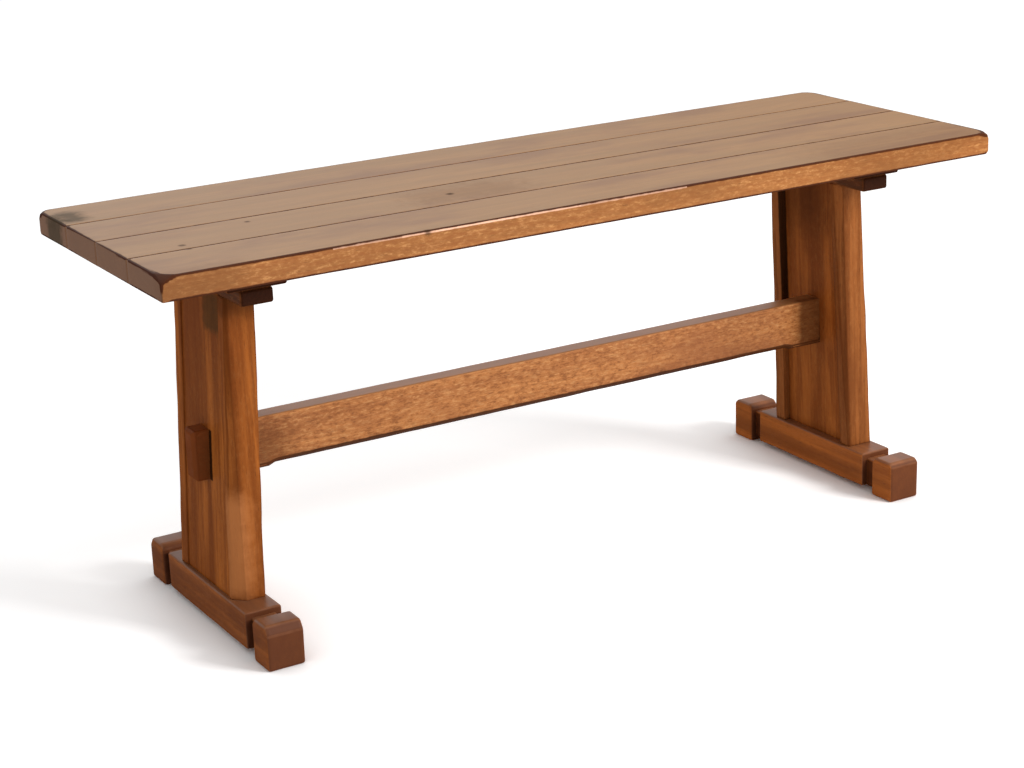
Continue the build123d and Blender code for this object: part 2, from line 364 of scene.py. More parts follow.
def stain_and_light_patch_group():
    """A tone mixed in inside a box, which fades outside it with a frayed edge."""
    inputs = dict.fromkeys(("Position", "Centre", "Half Size"), "Vector")
    inputs.update({"Softness": 0.004, "Fraying": 0.004, "Strength": 1.0, "Wax": 0.0})
    inputs.update({"Color": plain_oak, "Tone": plain_stain})
    outputs = {"Color": "Color", "Wax": "Float"}
    tree, source, leave = new_tree("stain_and_light_patch", "Shader", inputs, outputs)
    away = vector_maths(tree, "SUBTRACT", source["Position"], source["Centre"])[0]
    away = vector_maths(tree, "ABSOLUTE", away)[0]
    outside = vector_maths(tree, "SUBTRACT", away, source["Half Size"])[0]
    outside = vector_maths(tree, "MAXIMUM", outside, (0, 0, 0))[0]
    gap = vector_maths(tree, "LENGTH", outside)["Value"]
    fray = maths(tree, "SUBTRACT", noise(tree, source["Position"], *fray_noise), 0.5)
    gap = summed(tree, gap, [(fray, source["Fraying"])])
    fade = maths(tree, "SUBTRACT", 1.0, maths(tree, "DIVIDE", gap, source["Softness"]), clamp=True)
    mask = maths(tree, "MULTIPLY", ramp(tree, fade, 0.0, 1.0), source["Strength"])
    colour = tinted(tree, source["Color"], source["Tone"], mask)
    feed(tree, leave, {"Color": colour, "Wax": dulled(tree, source["Wax"], mask, patch_dulling)})
    return tree


stain_and_light_patch = stain_and_light_patch_group()
print("stain patch group nodes", len(stain_and_light_patch.nodes))

# %% [markdown]
# The finish itself is a dark honey stain under wax. This group stacks the masks in the order a
# finisher meets them: first the board's bands, rings and pale flecks, then stain in the pores, the
# fade that light gives a top, and last end grain and dark arrises. Wax shines most where hands and
# cloths polish it, on top, and least on end grain and spills. It may also fall off from one end of
# a seat to the other. The group hands back a colour, a roughness, the wax for the coat and a
# height. Each material has its own shader.

# %% Waxed oak group
tone_names = ("Early Wood", "Late Wood", "Pore Stain", "Fleck")
tone_names += ("Deep Stain", "Faded Top", "Arris Stain", "End Stain")
finish_numbers = {
    "Arris": 0.0,
    "Arris Start": 0.3,
    "Ring Spacing": ring_spacing,
    "Ring Strength": 0.4,
    "Band Strength": 0.7,
    "Streak Strength": 0.3,
    "Figure Strength": 0.0,
    "Fleck Strength": 0.4,
    "Fibre Strength": 0.4,
    "Arris Strength": 0.8,
    "Fade Strength": 0.0,
    "Base Roughness": 0.4,
    "Side Wax": 0.2,
    "Top Wax": 0.5,
    "Wax Fall": 0.0,
}
seat_half_length = 0.54
arris_dulling = 0.6
end_grain_dulling = 0.3


def waxed_oak_group():
    """Colour, roughness, wax and height of stained and waxed oak."""
    vectors = ("Grain Vector", "Grain Normal", "Normal", "Position")
    inputs = {**dict.fromkeys(vectors, "Vector"), **finish_numbers}
    inputs.update(dict.fromkeys(tone_names, plain_oak))
    outputs = {"Color": "Color", "Roughness": "Float", "Wax": "Float", "Height": "Float"}
    tree, source, leave = new_tree("waxed_oak", "Shader", inputs, outputs)
    grain = {"Vector": source["Grain Vector"], "Ring Spacing": source["Ring Spacing"]}
    mask = add_node(tree, "ShaderNodeGroup", grain, node_tree=oak_grain).outputs
    edges = {title: source[title] for title in ("Position", "Grain Normal", "Arris")}
    edges["Start"] = source["Arris Start"]
    worn = add_node(tree, "ShaderNodeGroup", edges, node_tree=arris_wear).outputs
    normal = add_node(tree, "ShaderNodeSeparateXYZ", {0: source["Normal"]}).outputs
    top = ramp(tree, normal[2], 0.25, 0.85)
    side = maths(tree, "SUBTRACT", 1.0, top)
    figure = maths(tree, "MULTIPLY", side, source["Figure Strength"])
    smudges = ramp(tree, mask["Blotches"], 0.5, 0.68)
    smudges = maths(tree, "MULTIPLY", smudges, source["Fade Strength"])
    layers = (
        ("Deep Stain", ramp(tree, mask["Bands"], 0.38, 0.64), source["Band Strength"]),
        ("Deep Stain", ramp(tree, mask["Streaks"], 0.46, 0.64), source["Streak Strength"]),
        ("Fleck", ramp(tree, mask["Figure"], 0.50, 0.66), figure),
        ("Late Wood", ramp(tree, mask["Figure"], 0.36, 0.50, 1.0, 0.0), figure),
        ("Late Wood", mask["Rings"], source["Ring Strength"]),
        ("Late Wood", ramp(tree, mask["Fibres"], 0.42, 0.72), source["Fibre Strength"]),
        ("Fleck", mask["Flecks"], source["Fleck Strength"]),
        ("Pore Stain", mask["Pores"], 0.6),
        ("Faded Top", top, source["Fade Strength"]),
        ("Deep Stain", ramp(tree, mask["Blotches"], 0.45, 0.75), 0.6),
        ("Pore Stain", smudges, 0.3),
        ("End Stain", worn["End Grain"], 0.9),
        ("Arris Stain", worn["Arris"], source["Arris Strength"]),
    )
    colour = source["Early Wood"]
    for tone, place, strength in layers:
        colour = tinted(tree, colour, source[tone], place, strength)
    rough_parts = ((mask["Pores"], 0.18), (mask["Blotches"], 0.10), (worn["End Grain"], 0.12))
    top_extra = maths(tree, "SUBTRACT", source["Top Wax"], source["Side Wax"])
    wax = maths(tree, "ADD", maths(tree, "MULTIPLY", top_extra, top), source["Side Wax"])
    place = add_node(tree, "ShaderNodeSeparateXYZ", {0: source["Position"]}).outputs
    from_left_end = maths(tree, "ADD", place[0], seat_half_length)
    wax = dulled(tree, wax, from_left_end, source["Wax Fall"])
    wax = dulled(tree, wax, worn["Arris"], arris_dulling)
    wax = dulled(tree, wax, worn["End Grain"], end_grain_dulling)
    height = maths(tree, "MULTIPLY", mask["Fibres"], 0.35)
    results = {
        "Color": colour,
        "Roughness": summed(tree, source["Base Roughness"], rough_parts),
        "Wax": wax,
        "Height": summed(tree, height, ((mask["Pores"], -0.8), (mask["Rings"], 0.25))),
    }
    feed(tree, leave, results)
    return tree


waxed_oak = waxed_oak_group()
print("waxed oak group nodes", len(waxed_oak.nodes))

# %% [markdown]
# Each timber is cut from its own board, so no two may show the same figure. A material is made for
# every timber: the Mapping node turns the grain along it and slides the pattern to a fresh place in
# the tree. Three sets of tones follow the photograph: the seat, the frame, and the redder, darker
# feet. The tones after them are for single places: a knot, a spill, stains and grime, and also
# painted shade, painted shadow, painted light on a facet and a painted highlight on an arris.

# %% Tones and materials
def srgb(*parts):
    """A colour from 0 to 255 as the eye reads it, turned into light."""
    shares = [part / 255 for part in parts]
    light = [((part + 0.055) / 1.055) ** 2.4 if part > 0.04045 else part / 12.92 for part in shares]
    return (*light, 1.0)


def tone_set(*colours):
    """Eight tones by name."""
    return {name: srgb(*colour) for name, colour in zip(tone_names, colours, strict=True)}


seat_tones = tone_set(
    (178, 116, 62), (136, 78, 36), (84, 48, 22), (210, 152, 94),
    (138, 88, 44), (148, 112, 60), (62, 26, 12), (112, 80, 60),
)
frame_tones = tone_set(
    (162, 92, 38), (112, 58, 22), (72, 34, 14), (192, 136, 82),
    (110, 55, 20), (132, 96, 58), (80, 38, 17), (82, 40, 18),
)
foot_tones = tone_set(
    (154, 88, 40), (110, 58, 26), (62, 30, 15), (158, 98, 56),
    (102, 53, 24), (112, 78, 56), (136, 92, 68), (88, 50, 32),
)
old_spill = srgb(62, 54, 40)
# A dark brown for real stains, and also for painted shade towards the ends of the seat's front and
# a painted shadow across the rail's right end.
dark_stain_and_shade = srgb(92, 50, 24)
knot = srgb(52, 34, 22)
# A pale pink for a painted highlight along the seat's front arris.
painted_arris_highlight = srgb(240, 190, 160)
# A honey tone for painted light on the hewn facet of the left front post.
painted_facet_light = srgb(190, 122, 72)
# Near black, for grime and for painted shade in corners and recesses.
grime_and_corner_shade = srgb(36, 19, 10)
olive_shade = srgb(70, 52, 31)
warm_shade = srgb(60, 32, 14)
tenon_stain = srgb(120, 60, 26)
neck_shade = srgb(46, 21, 16)
coat_roughness = 0.38
bump_strength = 0.35
bump_depth = 0.0004
quarter = math.radians(90)
grain_turns = {"X": (0, 0, 0), "Y": (0, 0, -quarter), "Z": (0, quarter, 0)}


def oak_material(name, tones, grain, slide, patches=(), **numbers):
    """Waxed oak for one timber, grain along X, Y or Z, with patches of stain, painted shade and
    light.
    """
    material, tree = new_material(name)
    place = add_node(tree, "ShaderNodeTexCoord").outputs
    turned = {"Vector": place["Object"], "Rotation": grain_turns[grain], "Location": slide}
    facing = {"Vector": place["Normal"], "Rotation": grain_turns[grain]}
    facing = add_node(tree, "ShaderNodeMapping", facing, vector_type="NORMAL")
    edge = add_node(tree, "ShaderNodeAttribute", attribute_name="arris")
    inputs = {
        "Grain Vector": add_node(tree, "ShaderNodeMapping", turned).outputs[0],
        "Grain Normal": facing.outputs[0],
        "Position": place["Object"],
        "Normal": place["Normal"],
        "Arris": edge.outputs["Fac"],
        **{title.replace("_", " ").title(): value for title, value in numbers.items()},
        **tones,
    }
    finish = add_node(tree, "ShaderNodeGroup", inputs, node_tree=waxed_oak).outputs
    last = {title: finish[title] for title in ("Color", "Wax")}
    for sizes in patches:
        inputs = {"Position": place["Object"], **dict(zip(patch_sizes, sizes)), **last}
        patch = add_node(tree, "ShaderNodeGroup", inputs, node_tree=stain_and_light_patch).outputs
        last = {title: patch[title] for title in last}
    relief = {"Height": finish["Height"], "Strength": bump_strength, "Distance": bump_depth}
    look = {
        "Base Color": last["Color"],
        "Roughness": finish["Roughness"],
        "Normal": add_node(tree, "ShaderNodeBump", relief).outputs["Normal"],
        "Coat Weight": last["Wax"],
        "Coat Roughness": coat_roughness,
        "Specular IOR Level": 0.0,
    }
    feed(tree, tree.nodes["Principled BSDF"], look)
    return material


print("tones in a set", len(seat_tones))

# %% [markdown]
# A timber starts as a plain prism between two outlines. Its sharp edges are rounded, then it is
# cut across every centimetre or so, and again just inside every face. The cuts give the small
# unevenness of hand work points to move, and let the arris number fall off close to the edge.

# %% Timber mesh helpers
arris_reach = 0.005
sharp_angle = math.radians(20)
square_face = 0.95
cut_tolerance = 1e-6


def prism(mesh, sections):
    """Adds a closed solid through two or more outlines with the same number of points."""
    rings = [[mesh.verts.new(point) for point in section] for section in sections]
    faces = [mesh.faces.new(rings[0]), mesh.faces.new(rings[-1])]
    count = len(rings[0])
    for lower, upper in zip(rings, rings[1:]):
        for place in range(count):
            after = (place + 1) % count
            faces.append(mesh.faces.new((lower[place], lower[after], upper[after], upper[place])))
    bmesh.ops.recalc_face_normals(mesh, faces=faces)
    return rings


def cut_everywhere(mesh, centre, normal):
    """Cuts the whole mesh by a plane and keeps both sides."""
    everything = [*mesh.verts, *mesh.edges, *mesh.faces]
    sizes = {"dist": cut_tolerance, "plane_co": centre, "plane_no": normal}
    bmesh.ops.bisect_plane(mesh, geom=everything, **sizes)


def distance_to_segment(point, start, end):
    """How far a point is from a straight edge."""
    run = end - start
    share = max(0.0, min(1.0, (point - start).dot(run) / run.length_squared))
    return (point - start - run * share).length


def timber_solid(sections, arris, step, axis, end_chamfer=0.0, stays_sharp=None, cut_heights=()):
    """One rounded and finely cut prism as a mesh, with its arris numbers."""
    mesh = bmesh.new()
    rings = prism(mesh, sections)
    soft_ring = {vertex for ring in rings[1:-1] for vertex in ring}
    if end_chamfer:
        mesh.faces.ensure_lookup_table()
        last_edges = list(mesh.faces[1].edges)
        bmesh.ops.bevel(mesh, geom=last_edges, offset=end_chamfer, segments=1, affect="EDGES")
    mesh.normal_update()
    planes = [(face.calc_center_median(), face.normal.copy()) for face in mesh.faces]
    sharp = [edge for edge in mesh.edges if edge.calc_face_angle(0) > sharp_angle]
    sharp = [edge for edge in sharp if not soft_ring.issuperset(edge.verts)]
    if stays_sharp:
        sharp = [edge for edge in sharp if not stays_sharp(edge)]
    lines = [tuple(vertex.co.copy() for vertex in edge.verts) for edge in sharp]
    bmesh.ops.bevel(mesh, geom=sharp, offset=arris, segments=3, profile=0.5, affect="EDGES")
    for centre, normal in planes:
        if max(map(abs, normal)) > square_face:
            cut_everywhere(mesh, centre - normal * arris_reach, normal)
    for height in cut_heights:
        cut_everywhere(mesh, up * height, up)
    low, high = (end(vertex.co[axis] for vertex in mesh.verts) for end in (min, max))
    normal = Vector([float(other == axis) for other in range(3)])
    for count in range(1, int((high - low) / step)):
        cut_everywhere(mesh, normal * (low + count * step), normal)
    layer = mesh.verts.layers.float.new("arris")
    for vertex in mesh.verts:
        gap = min(distance_to_segment(vertex.co, *line) for line in lines)
        vertex[layer] = max(0.0, 1.0 - gap / arris_reach)
    return mesh


def timber(name, solids, material):
    """Joins the finely cut solids of one timber into an object at the origin."""
    joined = bpy.data.meshes.new(name)
    whole = bmesh.new()
    for solid in solids:
        piece = bpy.data.meshes.new("part")
        solid.to_mesh(piece)
        solid.free()
        whole.from_mesh(piece)
        bpy.data.meshes.remove(piece)
    whole.to_mesh(joined)
    whole.free()
    for face in joined.polygons:
        face.use_smooth = True
    joined.materials.append(material)
    made = bpy.data.objects.new(name, joined)
    bpy.context.scene.collection.objects.link(made)
    return made


print("arris reach", arris_reach)

# %% [markdown]
# Hand planes, axes and years of use leave no face quite flat and no arris quite straight. What
# repeats over every timber is best made once, so a small Geometry Nodes tree does it: each point
# slides along its normal by smooth noise, a little on the faces and more along the arrises. The
# result is turned into a plain mesh, and the modifier goes.

# %% Hand-worn surface tree
def dress(tree, geometry, finish, leave):
    """Ends a Geometry Nodes tree with real geometry in one material."""
    real = add_node(tree, "GeometryNodeRealizeInstances", {0: geometry}).outputs[0]
    dressed = {"Geometry": real, "Material": finish}
    feed(tree, leave, {0: add_node(tree, "GeometryNodeSetMaterial", dressed).outputs[0]})


def worn_tree():
    """A Geometry Nodes tree that makes a timber's faces and arrises slightly uneven."""
    inputs = {"Geometry": "Geometry", "Face Depth": 0.0002, "Arris Depth": 0.001}
    inputs.update({"Dent Scale": 18.0, "Seed": 0.0, "Finish": "Material"})
    tree, source, leave = new_tree("hand_worn", "Geometry", inputs, {"Geometry": "Geometry"})
    arris = add_node(tree, "GeometryNodeInputNamedAttribute", {"Name": "arris"})
    dents = {"Scale": source["Dent Scale"], "W": source["Seed"], "Detail": 2.0}
    dents = add_node(tree, "ShaderNodeTexNoise", dents, noise_dimensions="4D").outputs["Fac"]
    centred = maths(tree, "SUBTRACT", dents, 0.5)
    edge = maths(tree, "MULTIPLY", arris.outputs["Attribute"], source["Arris Depth"])
    depth = maths(tree, "ADD", edge, source["Face Depth"])
    reach = maths(tree, "MULTIPLY", centred, maths(tree, "MULTIPLY", depth, 2.0))
    slide = {0: add_node(tree, "GeometryNodeInputNormal").outputs[0], "Scale": reach}
    slide = add_node(tree, "ShaderNodeVectorMath", slide, operation="SCALE").outputs[0]
    moved = {"Geometry": source["Geometry"], "Offset": slide}
    moved = add_node(tree, "GeometryNodeSetPosition", moved).outputs[0]
    dress(tree, moved, source["Finish"], leave)
    return tree


def apply_tree(piece, tree, values):
    """Runs a Geometry Nodes tree on an object and keeps the result as a plain mesh."""
    modifier = piece.modifiers.new(tree.name, "NODES")
    modifier.node_group = tree
    sockets = [item for item in tree.interface.items_tree if item.in_out == "INPUT"]
    names = {item.name: item.identifier for item in sockets}
    for title, value in values.items():
        modifier[names[title]] = value
    graph = bpy.context.evaluated_depsgraph_get()
    result = bpy.data.meshes.new_from_object(piece.evaluated_get(graph))
    piece.modifiers.clear()
    piece.data = result
    return piece


hand_worn = worn_tree()
print("hand worn tree nodes", len(hand_worn.nodes))

# %% Helper that finishes a timber
def settle(piece, nodes, face_depth, arris_depth, seed, dent_scale=18.0):
    """Wears the timber by hand, keeps it within the bench's box and puts it in its nodes' place."""
    values = {
        "Face Depth": face_depth,
        "Arris Depth": arris_depth,
        "Dent Scale": dent_scale,
        "Seed": seed,
        "Finish": piece.data.materials[0],
    }
    apply_tree(piece, hand_worn, values)
    for vertex in piece.data.vertices:
        for axis in range(3):
            vertex.co[axis] = max(cad_low[axis], min(cad_high[axis], vertex.co[axis]))
    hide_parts(*nodes)
    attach(piece, "root")
    print(piece.name, "points", len(piece.data.vertices))
    return piece


def corners(low, high, place, axis):
    """The four corners of a box's section at one place along an axis, in order."""
    first, second = [other for other in range(3) if other != axis]
    points = []
    for one, two in ((low, low), (high, low), (high, high), (low, high)):
        point = Vector()
        point[axis], point[first], point[second] = place, one[first], two[second]
        points.append(point)
    return points


def block_solid(low, high, arris, step, axis):
    """A rounded box, finely cut along one axis."""
    sections = [corners(low, high, place, axis) for place in (low[axis], high[axis])]
    return timber_solid(sections, arris, step, axis)


# %% [markdown]
# The seat is four planks with a V-groove at every seam. Someone took a rasp to the seat's corners:
# they are nearly square below and cut away on top, with a dark slanting facet between. No two
# corners got the same cut. So an outer plank passes through five outlines, and the top one has the
# large, slightly bulging corner cuts. On the left the facets are stained dark all over, while the
# seams took less stain than the outer arrises. A few knots and an old spill at the back left corner
# are patches of their own, and so are painted shade towards both ends of the front face and a
# painted highlight along a stretch of the front arris.

# %% Seat planks
seat_arris = 0.0016
seat_step = 0.010
clip_depth = 0.0085
foot_round_height = 0.004
corner_points = 6
# Keys are the end, -1 left or 1 right, and the side, -1 front or 1 back.
corner_cuts = {
    (-1, -1): {"foot": 0.0015, "side": 0.0015, "brow": 0.009, "top": 0.018, "bulge": 0.3},
    (1, -1): {"foot": 0.0090, "side": 0.0045, "brow": 0.008, "top": 0.020, "bulge": 1.0},
    (-1, 1): {"foot": 0.0030, "side": 0.0015, "brow": 0.005, "top": 0.013, "bulge": 0.7},
    (1, 1): {"foot": 0.0090, "side": 0.0045, "brow": 0.008, "top": 0.018, "bulge": 1.0},
}
end_stretch = 1.12
brow_share = 0.42
facet_rows = (1.0, 1.12, 1.25)
facet_reach = 1.12
bare_top_reach = 1.1
seam_stain = 0.74
seam_end_stain = 0.0
upright_stain = 0.4
flat_gap = 0.0001
same_place = 1e-5


def plank_outline(low, high, rounded_side, height, level):
    """A plank's outline, with two cut corners on its front (-1) or back (1) side, or none."""
    points = []
    places = (
        (low.x, low.y, -1, -1, 2),
        (high.x, low.y, 1, -1, 3),
        (high.x, high.y, 1, 1, 0),
        (low.x, high.y, -1, 1, 1),
    )
    for x, y, end, side, quarters in places:
        if side != rounded_side:
            points.append(Vector((x, y, height)))
            continue
        cut = corner_cuts[end, side][level]
        along, across = cut / end_stretch, cut * end_stretch
        inner = Vector((x - end * along, y - side * across, height))
        turns = [quarter * (quarters + count / corner_points) for count in range(corner_points + 1)]
        arc = [(along * math.cos(turn), across * math.sin(turn), 0) for turn in turns]
        oval = [inner + Vector(step) for step in arc]
        for count, point in enumerate(oval):
            straight = oval[0].lerp(oval[-1], count / corner_points)
            points.append(straight.lerp(point, corner_cuts[end, side]["bulge"]))
    return points


def cut_beside_facets(mesh, low, high, side):
    """Cuts the top just behind each corner facet, so that its dark stain can end there."""
    for end in (-1, 1):
        cut = corner_cuts[end, side]["top"]
        apex = Vector((high.x if end > 0 else low.x, high.y if side > 0 else low.y, high.z))
        normal = Vector((end / (cut / end_stretch), side / (cut * end_stretch), 0))
        for reach in facet_rows:
            behind = apex - normal * (reach / normal.length_squared)
            cut_everywhere(mesh, behind, normal.normalized())


def stain_arrises(mesh, low, high, side, seams):
    """Sets the arris numbers of a plank: full on the left facets, faint at seams and uprights."""
    outer = high.y if side > 0 else low.y
    layer = mesh.verts.layers.float["arris"]
    for vertex in mesh.verts:
        place = vertex.co
        end_gap = min(high.x - place.x, place.x - low.x)
        side_gap = abs(outer - place.y)
        from_seam = min(abs(place.y - seam) for seam in seams)
        if from_seam < arris_reach:
            vertex[layer] *= seam_stain if end_gap > flat_gap else seam_end_stain
        if not side:
            continue
        end = 1 if place.x > 0 else -1
        cut = corner_cuts[end, side]["top"]
        reach = end_gap * end_stretch / cut + side_gap / end_stretch / cut
        near_upright = end_gap < arris_reach and side_gap < arris_reach
        if place.z < high.z - flat_gap:
            if end < 0 and reach + (high.z - place.z) / clip_depth < facet_reach:
                vertex[layer] = 1.0
            elif near_upright and place.z < high.z - clip_depth:
                vertex[layer] *= upright_stain
        elif reach > bare_top_reach and min(end_gap, side_gap) > arris_reach:
            vertex[layer] = 0.0


plank_names = sorted(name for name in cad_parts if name.startswith("seat_plank"))
rounded_sides = {plank_names[0]: -1, plank_names[-1]: 1}
# Each patch is its centre, half size, softness, fraying, strength and tone.
front_stains_and_light = [
    # The first two front patches paint shade towards the right and left ends of the front, and the
    # next three paint a highlight along the front arris.
    ((0.440, -0.170, 0.440), (0.090, 0.010, 0.020), 0.120, 0.100, 0.20, dark_stain_and_shade),
    ((-0.500, -0.180, 0.440), (0.040, 0.004, 0.010), 0.030, 0.040, 0.15, dark_stain_and_shade),
    ((-0.130, -0.1782, 0.4547), (0.220, 0.0004, 0.0003), 0.0010, 0.0022, 0.45, painted_arris_highlight),
    ((-0.160, -0.1782, 0.4547), (0.110, 0.0004, 0.0003), 0.0010, 0.0012, 0.50, painted_arris_highlight),
    ((-0.180, -0.1782, 0.4547), (0.050, 0.0004, 0.0003), 0.0010, 0.0008, 0.60, painted_arris_highlight),
    ((-0.240, -0.178, 0.455), (0.0008, 0.002, 0.001), 0.005, 0.004, 0.7, knot),
    ((-0.4725, -0.0900, 0.457), (0.0008, 0.001, 0.001), 0.005, 0.004, 0.7, knot),
]
middle_stains = [
    ((-0.139, -0.046, 0.457), (0.001, 0.001, 0.001), 0.006, 0.004, 0.9, knot),
    ((-0.120, -0.050, 0.457), (0.040, 0.004, 0.001), 0.060, 0.090, 0.22, dark_stain_and_shade),
    ((-0.4725, -0.0725, 0.457), (0.0008, 0.001, 0.001), 0.005, 0.004, 0.7, knot),
    ((-0.375, -0.020, 0.457), (0.0006, 0.001, 0.001), 0.004, 0.003, 0.7, knot),
]
back_corner_spill = [
    ((-0.522, 0.125, 0.457), (0.003, 0.014, 0.001), 0.022, 0.020, 0.75, old_spill),
    ((-0.541, 0.128, 0.440), (0.001, 0.014, 0.012), 0.016, 0.018, 0.75, old_spill),
]
plank_stains_and_light = (front_stains_and_light, middle_stains, (), back_corner_spill)
seat_numbers = dict(ring_spacing=0.007, ring_strength=0.35, fleck_strength=0.1, figure_strength=0.5)
seat_numbers.update(arris_start=0.42, arris_strength=0.95, base_roughness=0.42, wax_fall=0.35)
seat_numbers.update(side_wax=0.4, top_wax=1.0, streak_strength=0.3, fade_strength=0.6)
for number, name in enumerate(plank_names):
    low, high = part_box(name)
    side = rounded_sides.get(name, 0)
    levels = (
        (low.z, "foot"),
        (low.z + foot_round_height, "side"),
        (high.z - clip_depth, "side"),
        (high.z - clip_depth * brow_share, "brow"),
        (high.z, "top"),
    )
    sections = [plank_outline(low, high, side, *level) for level in levels]
    seams = [y for y, outer in ((low.y, -1), (high.y, 1)) if outer != side]

    def on_seam_end(edge, seams=seams):
        """True for the upright edges where a seam meets the seat's end, which stay crisp."""
        first, second = (vertex.co for vertex in edge.verts)
        upright = abs(first.x - second.x) + abs(first.y - second.y) < same_place
        return upright and any(abs(first.y - seam) < same_place for seam in seams)

    sections = sections if side else sections[::4]
    solid = timber_solid(sections, seat_arris, seat_step, 0, stays_sharp=on_seam_end)
    if side:
        cut_beside_facets(solid, low, high, side)
    stain_arrises(solid, low, high, side, seams)
    slide = (0.37 * number, 0.031 * number - 0.02, 0.055 + 0.012 * number)
    finish = oak_material(
        f"waxed_{name}", seat_tones, "X", slide, plank_stains_and_light[number], **seat_numbers
    )
    plank = timber(f"worn_{name}", [solid], finish)
    settle(plank, [name], face_depth=0.0001, arris_depth=0.0005, seed=number * 3.1)

# %% [markdown]
# Under the planks, each trestle begins with a wide batten and a narrower head block. Their lower
# arrises are well rounded. They sit in the seat's shadow and show mostly as dark, soft ends, and
# their tones are darker than the feet's, which paints that shade into the wood.

# %% Battens and head blocks
head_arris = 0.003
head_step = 0.012
# Darker tones than the feet's: painted shade from the seat above.
shaded_head_tones = {**foot_tones, "Early Wood": srgb(92, 54, 30), "Deep Stain": srgb(64, 36, 20)}
shaded_head_tones["End Stain"] = srgb(46, 22, 12)
head_numbers = dict(arris_strength=0.0, side_wax=0.1, top_wax=0.1)
for count, side in enumerate(("left", "right")):
    for kind in ("batten", "head_block"):
        name = f"{side}_{kind}"
        low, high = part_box(name)
        slide = (count, 0.05, 0.04)
        finish = oak_material(f"waxed_{name}", shaded_head_tones, "Y", slide, **head_numbers)
        solid = block_solid(low, high, head_arris, head_step, 1)
        piece = timber(f"worn_{name}", [solid], finish)
        settle(piece, [name], face_depth=0.0001, arris_depth=0.0004, seed=count + 3.0)

# %% [markdown]
# The legs lean out towards the foot and flare a little towards it. A post is a prism between its
# section at the foot and its section at the head. Each front post has lost its left arris to the
# axe, the left one more of it towards the floor, so their section has five corners instead of four.

# %% Leg sizes
leg_lean = 0.016
post_thickness = 0.035
post_width = 0.018
leg_top_width = 0.138
leg_foot_width = 0.152
board_outer_recess = 0.0015
board_inner_recess = 0.008
hewn_cuts = {
    ("left", "foot"): (0.013, 0.013),
    ("left", "head"): (0.002, 0.002),
    ("right", "foot"): (0.002, 0.002),
    ("right", "head"): (0.007, 0.013),
}
leg_foot_height, leg_head_height = (corner.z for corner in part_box("right_leg_board"))
head_place = sum(corner.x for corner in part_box("right_head_block")) / 2
leg_levels = {
    "foot": (leg_foot_height, head_place + leg_lean, leg_foot_width / 2),
    "head": (leg_head_height, head_place, leg_top_width / 2),
}
print("leg from", round(leg_foot_height, 4), "to", round(leg_head_height, 4))


def post_section(level, end, side):
    """A post's section at foot or head. end is -1 left or 1 right, side -1 front or 1 back."""
    height, centre, half_width = leg_levels[level]
    left_x, right_x = (end * centre + half for half in (-post_thickness / 2, post_thickness / 2))
    inner_y, outer_y = side * (half_width - post_width), side * half_width
    points = [(right_x, inner_y), (right_x, outer_y)]
    if side < 0:
        across, along = hewn_cuts["left" if end < 0 else "right", level]
        points += [(left_x + across, outer_y), (left_x, outer_y + along)]
    else:
        points.append((left_x, outer_y))
    points.append((left_x, inner_y))
    return [Vector((x, y, height)) for x, y in points]


def board_section(level, end):
    """The recessed board's section, set deeper on the leg's inner face."""
    height, centre, half_width = leg_levels[level]
    reach = half_width - post_width
    inner_x = end * (centre - post_thickness / 2 + board_inner_recess)
    outer_x = end * (centre + post_thickness / 2 - board_outer_recess)
    points = ((inner_x, -reach), (inner_x, reach), (outer_x, reach), (outer_x, -reach))
    return [Vector((x, y, height)) for x, y in points]


# %% Legs
post_cut = {"arris": 0.0009, "step": 0.008, "axis": 2}
board_cut = {"arris": 0.0006, "step": 0.012, "axis": 2}
# Patches on the legs: a dark line beside the left tenon, partly grime and partly painted shadow of
# the joint; painted shade high on the left leg's outer face and on the right leg's inner face;
# painted shade in the right leg's recess beside its back post; painted shade at the head of the
# left front post; and painted light on its hewn facet.
mortise_grime_and_shadow = ((0.0, -0.0158, 0.2020), (0.5, 0.0024, 0.028), 0.0025, 0.002, 0.95, grime_and_corner_shade)
outer_shade = ((-0.428, -0.034, 0.368), (0.010, 0.020, 0.016), 0.012, 0.014, 0.7, olive_shade)
inner_shade = ((0.402, 0.030, 0.385), (0.020, 0.024, 0.020), 0.100, 0.040, 0.60, warm_shade)
painted_recess_shade = ((0.402, 0.0530, 0.275), (0.014, 0.0012, 0.115), 0.0030, 0.002, 0.9, grime_and_corner_shade)
head_shade = ((-0.428, -0.060, 0.388), (0.030, 0.025, 0.006), 0.024, 0.014, 0.5, warm_shade)
hewn_facet_light = ((-0.448, -0.077, 0.110), (0.010, 0.010, 0.045), 0.030, 0.020, 0.6, painted_facet_light)
leg_grime_shade_and_light = {
    "left_front_post": (hewn_facet_light, head_shade),
    "right_back_post": (painted_recess_shade,),
    "left_leg_board": (mortise_grime_and_shadow, outer_shade),
    "right_leg_board": (inner_shade, painted_recess_shade),
}
browner_post = {"Early Wood": srgb(148, 88, 44), "Deep Stain": srgb(104, 56, 25)}
leg_numbers = dict(ring_strength=0.12, fleck_strength=0.05, band_strength=0.8)
leg_numbers.update(streak_strength=0.6, fibre_strength=0.12, figure_strength=0.08)
leg_numbers.update(side_wax=0.08, top_wax=0.1)
post_numbers = dict(leg_numbers, arris_start=0.6, arris_strength=0.35)
board_numbers = dict(leg_numbers, arris_strength=0.0)
